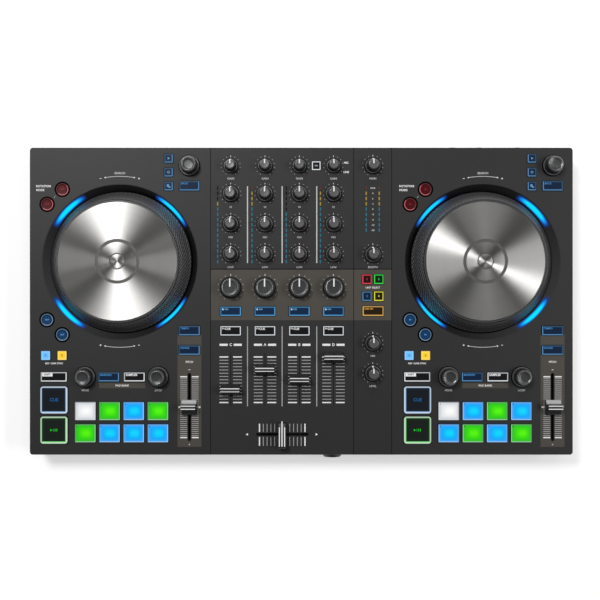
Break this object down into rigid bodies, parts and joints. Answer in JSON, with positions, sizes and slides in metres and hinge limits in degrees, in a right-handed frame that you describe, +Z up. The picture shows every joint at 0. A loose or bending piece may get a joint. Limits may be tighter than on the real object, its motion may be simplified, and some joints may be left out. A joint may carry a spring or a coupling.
{
  "type": "dj controller",
  "caption": "Flat four-channel DJ controller with two metal-topped jog wheels, a central mixer with faders and knobs, lit performance pads and pitch sliders.",
  "frame": {"origin": "on the table under the middle of the case", "axes": "+X to the player's right along the case, +Y away from the player to the sockets, +Z up out of the panel"},
  "size_m": [0.527, 0.306, 0.0585],
  "materials": {
    "panel": "fine matte dark grey paint",
    "case": "fine-grained black moulded plastic",
    "rubber": "soft black rubber",
    "steel": "plain steel",
    "board": "green laminate",
    "control_metal": "plain steel",
    "switch_plastic": "black moulded plastic",
    "light_guide": "clear tinted plastic",
    "light_ring": "smoked translucent plastic",
    "socket_black": "black moulded plastic and plated shells",
    "jog_rim": "black grip moulding with slanted ribs",
    "jog_metal": "circular-brushed aluminium",
    "knob": "soft-touch dark plastic, white pointer",
    "fader_cap": "dark plastic with white index lines",
    "pads": "lit translucent silicone",
    "transport": "smoked plastic with a lit frame",
    "button": "smoked plastic with a lit outline"
  },
  "bodies": {
    "case": {"top_cover": "panel", "bottom_case": "case", "rubber_feet": "rubber", "case_screws": "steel", "circuit_boards": "board", "rotary_controls": "control_metal", "slide_faders": "control_metal", "key_switches": "switch_plastic", "meter_light_guides": "light_guide", "jog_spindles": "steel", "jog_light_rings": "light_ring", "sockets": "socket_black"},
    "left_jog_wheel": {"left_jog_rim": "jog_rim", "left_jog_plate": "jog_metal"},
    "right_jog_wheel": {"right_jog_rim": "jog_rim", "right_jog_plate": "jog_metal"},
    "channel_c_gain_knob": {"channel_c_gain_knob": "knob"},
    "channel_c_high_knob": {"channel_c_high_knob": "knob"},
    "channel_c_mid_knob": {"channel_c_mid_knob": "knob"},
    "channel_c_low_knob": {"channel_c_low_knob": "knob"},
    "channel_c_effect_knob": {"channel_c_effect_knob": "knob"},
    "channel_a_gain_knob": {"channel_a_gain_knob": "knob"},
    "channel_a_high_knob": {"channel_a_high_knob": "knob"},
    "channel_a_mid_knob": {"channel_a_mid_knob": "knob"},
    "channel_a_low_knob": {"channel_a_low_knob": "knob"},
    "channel_a_effect_knob": {"channel_a_effect_knob": "knob"},
    "channel_b_gain_knob": {"channel_b_gain_knob": "knob"},
    "channel_b_high_knob": {"channel_b_high_knob": "knob"},
    "channel_b_mid_knob": {"channel_b_mid_knob": "knob"},
    "channel_b_low_knob": {"channel_b_low_knob": "knob"},
    "channel_b_effect_knob": {"channel_b_effect_knob": "knob"},
    "channel_d_gain_knob": {"channel_d_gain_knob": "knob"},
    "channel_d_high_knob": {"channel_d_high_knob": "knob"},
    "channel_d_mid_knob": {"channel_d_mid_knob": "knob"},
    "channel_d_low_knob": {"channel_d_low_knob": "knob"},
    "channel_d_effect_knob": {"channel_d_effect_knob": "knob"},
    "master_volume_knob": {"master_volume_knob": "knob"},
    "booth_volume_knob": {"booth_volume_knob": "knob"},
    "phones_mix_knob": {"phones_mix_knob": "knob"},
    "phones_volume_knob": {"phones_volume_knob": "knob"},
    "left_browse_knob": {"left_browse_knob": "knob"},
    "left_move_knob": {"left_move_knob": "knob"},
    "left_loop_knob": {"left_loop_knob": "knob"},
    "right_browse_knob": {"right_browse_knob": "knob"},
    "right_move_knob": {"right_move_knob": "knob"},
    "right_loop_knob": {"right_loop_knob": "knob"},
    "channel_c_fader_cap": {"channel_c_fader_cap": "fader_cap"},
    "channel_a_fader_cap": {"channel_a_fader_cap": "fader_cap"},
    "channel_b_fader_cap": {"channel_b_fader_cap": "fader_cap"},
    "channel_d_fader_cap": {"channel_d_fader_cap": "fader_cap"},
    "crossfader_cap": {"crossfader_cap": "fader_cap"},
    "left_tempo_cap": {"left_tempo_cap": "fader_cap"},
    "right_tempo_cap": {"right_tempo_cap": "fader_cap"},
    "left_pads": {"left_pads": "pads"},
    "left_transport_buttons": {"left_transport_buttons": "transport"},
    "left_deck_buttons": {"left_deck_buttons": "button"},
    "right_pads": {"right_pads": "pads"},
    "right_transport_buttons": {"right_transport_buttons": "transport"},
    "right_deck_buttons": {"right_deck_buttons": "button"},
    "mixer_buttons": {"mixer_buttons": "button"}
  },
  "joints": [
    {"name": "left_jog_wheel_turn", "type": "hinge", "parent": "case", "child": "left_jog_wheel", "pos_m": [-0.17615, 0.0382, 0.045], "axis": [0, 0, 1], "continuous": true},
    {"name": "right_jog_wheel_turn", "type": "hinge", "parent": "case", "child": "right_jog_wheel", "pos_m": [0.17615, 0.0382, 0.045], "axis": [0, 0, 1], "continuous": true},
    {"name": "channel_c_gain_knob_turn", "type": "hinge", "parent": "case", "child": "channel_c_gain_knob", "pos_m": [-0.0685, 0.1313, 0.0435], "axis": [0, 0, 1], "range_deg": [-150, 150]},
    {"name": "channel_c_high_knob_turn", "type": "hinge", "parent": "case", "child": "channel_c_high_knob", "pos_m": [-0.0685, 0.1043, 0.0435], "axis": [0, 0, 1], "range_deg": [-150, 150]},
    {"name": "channel_c_mid_knob_turn", "type": "hinge", "parent": "case", "child": "channel_c_mid_knob", "pos_m": [-0.0685, 0.075, 0.0435], "axis": [0, 0, 1], "range_deg": [-150, 150]},
    {"name": "channel_c_low_knob_turn", "type": "hinge", "parent": "case", "child": "channel_c_low_knob", "pos_m": [-0.0685, 0.0458, 0.0435], "axis": [0, 0, 1], "range_deg": [-150, 150]},
    {"name": "channel_c_effect_knob_turn", "type": "hinge", "parent": "case", "child": "channel_c_effect_knob", "pos_m": [-0.0685, 0.0132, 0.0435], "axis": [0, 0, 1], "range_deg": [-150, 150]},
    {"name": "channel_a_gain_knob_turn", "type": "hinge", "parent": "case", "child": "channel_a_gain_knob", "pos_m": [-0.0352, 0.1313, 0.0435], "axis": [0, 0, 1], "range_deg": [-150, 150]},
    {"name": "channel_a_high_knob_turn", "type": "hinge", "parent": "case", "child": "channel_a_high_knob", "pos_m": [-0.0352, 0.1043, 0.0435], "axis": [0, 0, 1], "range_deg": [-150, 150]},
    {"name": "channel_a_mid_knob_turn", "type": "hinge", "parent": "case", "child": "channel_a_mid_knob", "pos_m": [-0.0352, 0.075, 0.0435], "axis": [0, 0, 1], "range_deg": [-150, 150]},
    {"name": "channel_a_low_knob_turn", "type": "hinge", "parent": "case", "child": "channel_a_low_knob", "pos_m": [-0.0352, 0.0458, 0.0435], "axis": [0, 0, 1], "range_deg": [-150, 150]},
    {"name": "channel_a_effect_knob_turn", "type": "hinge", "parent": "case", "child": "channel_a_effect_knob", "pos_m": [-0.0352, 0.0132, 0.0435], "axis": [0, 0, 1], "range_deg": [-150, 150]},
    {"name": "channel_b_gain_knob_turn", "type": "hinge", "parent": "case", "child": "channel_b_gain_knob", "pos_m": [-0.0019, 0.1313, 0.0435], "axis": [0, 0, 1], "range_deg": [-150, 150]},
    {"name": "channel_b_high_knob_turn", "type": "hinge", "parent": "case", "child": "channel_b_high_knob", "pos_m": [-0.0019, 0.1043, 0.0435], "axis": [0, 0, 1], "range_deg": [-150, 150]},
    {"name": "channel_b_mid_knob_turn", "type": "hinge", "parent": "case", "child": "channel_b_mid_knob", "pos_m": [-0.0019, 0.075, 0.0435], "axis": [0, 0, 1], "range_deg": [-150, 150]},
    {"name": "channel_b_low_knob_turn", "type": "hinge", "parent": "case", "child": "channel_b_low_knob", "pos_m": [-0.0019, 0.0458, 0.0435], "axis": [0, 0, 1], "range_deg": [-150, 150]},
    {"name": "channel_b_effect_knob_turn", "type": "hinge", "parent": "case", "child": "channel_b_effect_knob", "pos_m": [-0.0019, 0.0132, 0.0435], "axis": [0, 0, 1], "range_deg": [-150, 150]},
    {"name": "channel_d_gain_knob_turn", "type": "hinge", "parent": "case", "child": "channel_d_gain_knob", "pos_m": [0.0312, 0.1313, 0.0435], "axis": [0, 0, 1], "range_deg": [-150, 150]},
    {"name": "channel_d_high_knob_turn", "type": "hinge", "parent": "case", "child": "channel_d_high_knob", "pos_m": [0.0312, 0.1043, 0.0435], "axis": [0, 0, 1], "range_deg": [-150, 150]},
    {"name": "channel_d_mid_knob_turn", "type": "hinge", "parent": "case", "child": "channel_d_mid_knob", "pos_m": [0.0312, 0.075, 0.0435], "axis": [0, 0, 1], "range_deg": [-150, 150]},
    {"name": "channel_d_low_knob_turn", "type": "hinge", "parent": "case", "child": "channel_d_low_knob", "pos_m": [0.0312, 0.0458, 0.0435], "axis": [0, 0, 1], "range_deg": [-150, 150]},
    {"name": "channel_d_effect_knob_turn", "type": "hinge", "parent": "case", "child": "channel_d_effect_knob", "pos_m": [0.0312, 0.0132, 0.0435], "axis": [0, 0, 1], "range_deg": [-150, 150]},
    {"name": "master_volume_knob_turn", "type": "hinge", "parent": "case", "child": "master_volume_knob", "pos_m": [0.0694, 0.1313, 0.0435], "axis": [0, 0, 1], "range_deg": [-150, 150]},
    {"name": "booth_volume_knob_turn", "type": "hinge", "parent": "case", "child": "booth_volume_knob", "pos_m": [0.0694, 0.0454, 0.0435], "axis": [0, 0, 1], "range_deg": [-150, 150]},
    {"name": "phones_mix_knob_turn", "type": "hinge", "parent": "case", "child": "phones_mix_knob", "pos_m": [0.0694, -0.0405, 0.0435], "axis": [0, 0, 1], "range_deg": [-150, 150]},
    {"name": "phones_volume_knob_turn", "type": "hinge", "parent": "case", "child": "phones_volume_knob", "pos_m": [0.0694, -0.0699, 0.0435], "axis": [0, 0, 1], "range_deg": [-150, 150]},
    {"name": "left_browse_knob_turn", "type": "hinge", "parent": "case", "child": "left_browse_knob", "pos_m": [-0.10855, 0.1315, 0.0435], "axis": [0, 0, 1], "continuous": true},
    {"name": "left_move_knob_turn", "type": "hinge", "parent": "case", "child": "left_move_knob", "pos_m": [-0.20955, -0.0732, 0.0435], "axis": [0, 0, 1], "continuous": true},
    {"name": "left_loop_knob_turn", "type": "hinge", "parent": "case", "child": "left_loop_knob", "pos_m": [-0.13865, -0.0732, 0.0435], "axis": [0, 0, 1], "continuous": true},
    {"name": "right_browse_knob_turn", "type": "hinge", "parent": "case", "child": "right_browse_knob", "pos_m": [0.24375, 0.1315, 0.0435], "axis": [0, 0, 1], "continuous": true},
    {"name": "right_move_knob_turn", "type": "hinge", "parent": "case", "child": "right_move_knob", "pos_m": [0.14275, -0.0732, 0.0435], "axis": [0, 0, 1], "continuous": true},
    {"name": "right_loop_knob_turn", "type": "hinge", "parent": "case", "child": "right_loop_knob", "pos_m": [0.21365, -0.0732, 0.0435], "axis": [0, 0, 1], "continuous": true},
    {"name": "channel_c_fader_cap_slide", "type": "slide", "parent": "case", "child": "channel_c_fader_cap", "axis": [0, 1, 0], "range_m": [-0.013, 0.0312]},
    {"name": "channel_a_fader_cap_slide", "type": "slide", "parent": "case", "child": "channel_a_fader_cap", "axis": [0, 1, 0], "range_m": [-0.0326, 0.0116]},
    {"name": "channel_b_fader_cap_slide", "type": "slide", "parent": "case", "child": "channel_b_fader_cap", "axis": [0, 1, 0], "range_m": [-0.0229, 0.0213]},
    {"name": "channel_d_fader_cap_slide", "type": "slide", "parent": "case", "child": "channel_d_fader_cap", "axis": [0, 1, 0], "range_m": [-0.0442, 0]},
    {"name": "crossfader_cap_slide", "type": "slide", "parent": "case", "child": "crossfader_cap", "axis": [1, 0, 0], "range_m": [-0.02205, 0.02205]},
    {"name": "left_tempo_cap_slide", "type": "slide", "parent": "case", "child": "left_tempo_cap", "axis": [0, 1, 0], "range_m": [-0.0295, 0.0295]},
    {"name": "right_tempo_cap_slide", "type": "slide", "parent": "case", "child": "right_tempo_cap", "axis": [0, 1, 0], "range_m": [-0.0295, 0.0295]},
    {"name": "left_pads_press", "type": "slide", "parent": "case", "child": "left_pads", "axis": [0, 0, -1], "range_m": [0, 0.0009], "stiffness_N_per_m": 900, "springref_m": -0.0012},
    {"name": "left_transport_buttons_press", "type": "slide", "parent": "case", "child": "left_transport_buttons", "axis": [0, 0, -1], "range_m": [0, 0.0009], "stiffness_N_per_m": 700, "springref_m": -0.0012},
    {"name": "left_deck_buttons_press", "type": "slide", "parent": "case", "child": "left_deck_buttons", "axis": [0, 0, -1], "range_m": [0, 0.0009], "stiffness_N_per_m": 900, "springref_m": -0.0012},
    {"name": "right_pads_press", "type": "slide", "parent": "case", "child": "right_pads", "axis": [0, 0, -1], "range_m": [0, 0.0009], "stiffness_N_per_m": 900, "springref_m": -0.0012},
    {"name": "right_transport_buttons_press", "type": "slide", "parent": "case", "child": "right_transport_buttons", "axis": [0, 0, -1], "range_m": [0, 0.0009], "stiffness_N_per_m": 700, "springref_m": -0.0012},
    {"name": "right_deck_buttons_press", "type": "slide", "parent": "case", "child": "right_deck_buttons", "axis": [0, 0, -1], "range_m": [0, 0.0009], "stiffness_N_per_m": 900, "springref_m": -0.0012},
    {"name": "mixer_buttons_press", "type": "slide", "parent": "case", "child": "mixer_buttons", "axis": [0, 0, -1], "range_m": [0, 0.0009], "stiffness_N_per_m": 900, "springref_m": -0.0012}
  ]
}
